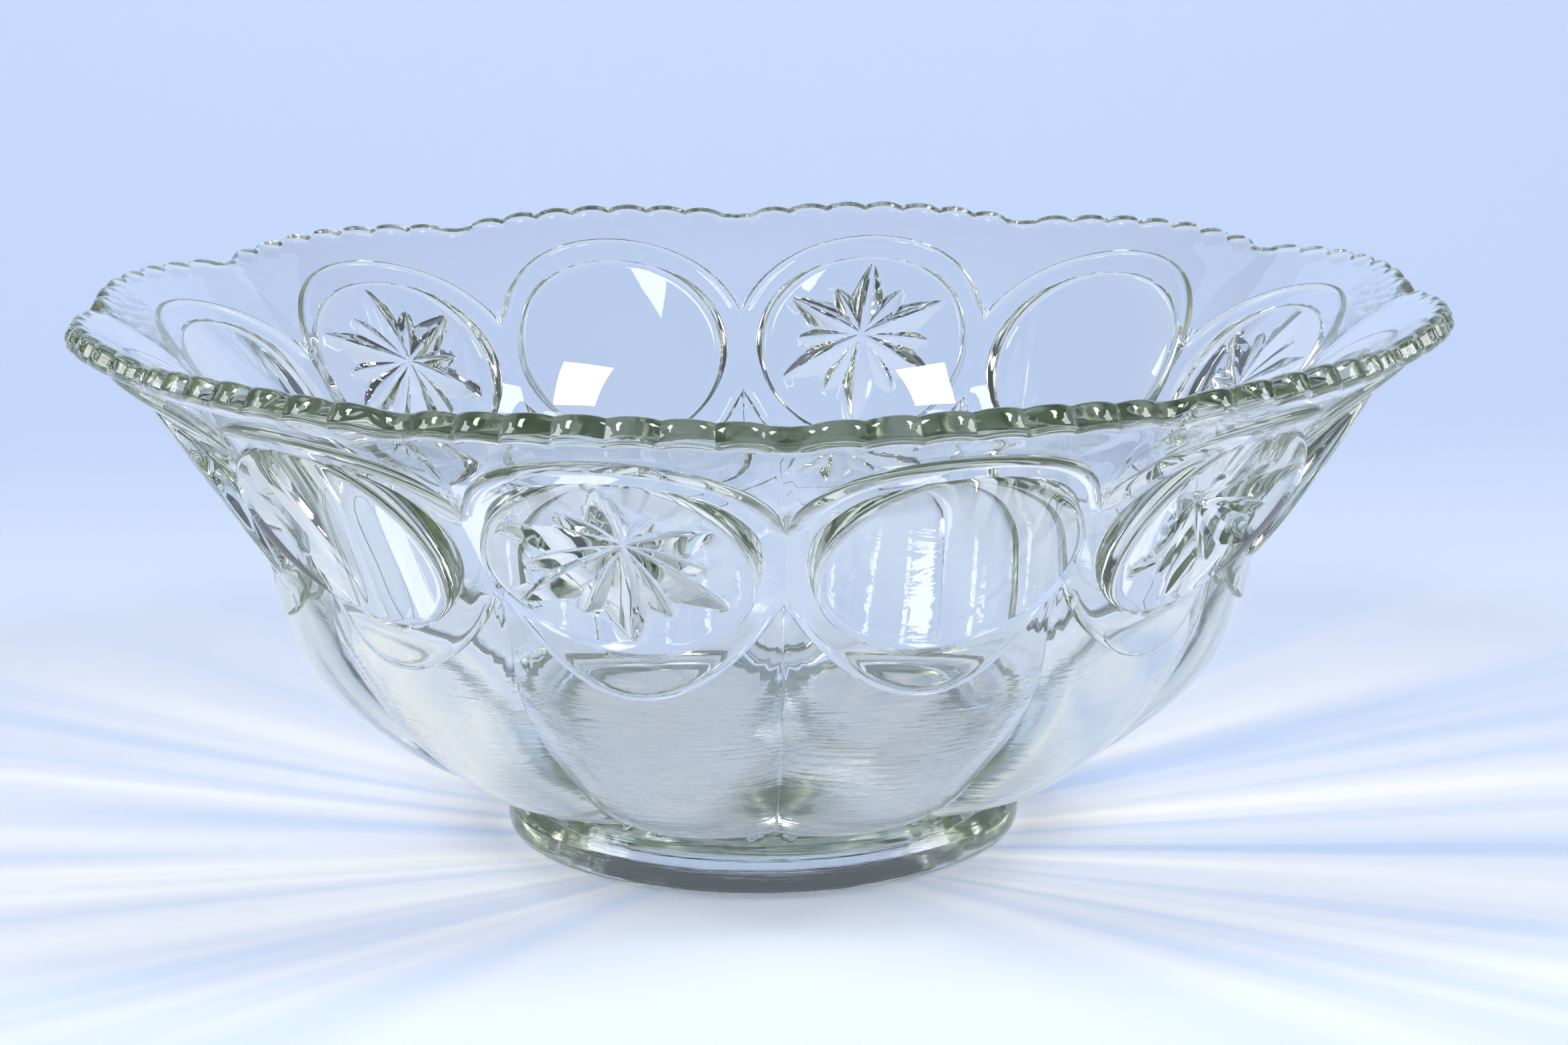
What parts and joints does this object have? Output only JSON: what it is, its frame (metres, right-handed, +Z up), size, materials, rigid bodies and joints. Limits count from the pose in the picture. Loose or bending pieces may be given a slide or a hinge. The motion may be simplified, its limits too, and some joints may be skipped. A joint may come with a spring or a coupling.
{
  "type": "punch bowl",
  "caption": "Clear pressed-glass punch bowl: lobed body on a round foot, flared scalloped rim with a toothed edge, and round medallions, alternately plain and cut with a star.",
  "frame": {"origin": "centre of the foot's underside, in the plane the bowl stands on", "axes": "+Z up along the bowl's axis; the line between a star panel and a plain panel faces -Y, the star panel on the -X side"},
  "size_m": [0.3002, 0.3002, 0.1234],
  "materials": {
    "clear_glass": "fire-polished, smooth"
  },
  "bodies": {
    "root": {"glass_bowl": "clear_glass"}
  },
  "joints": []
}
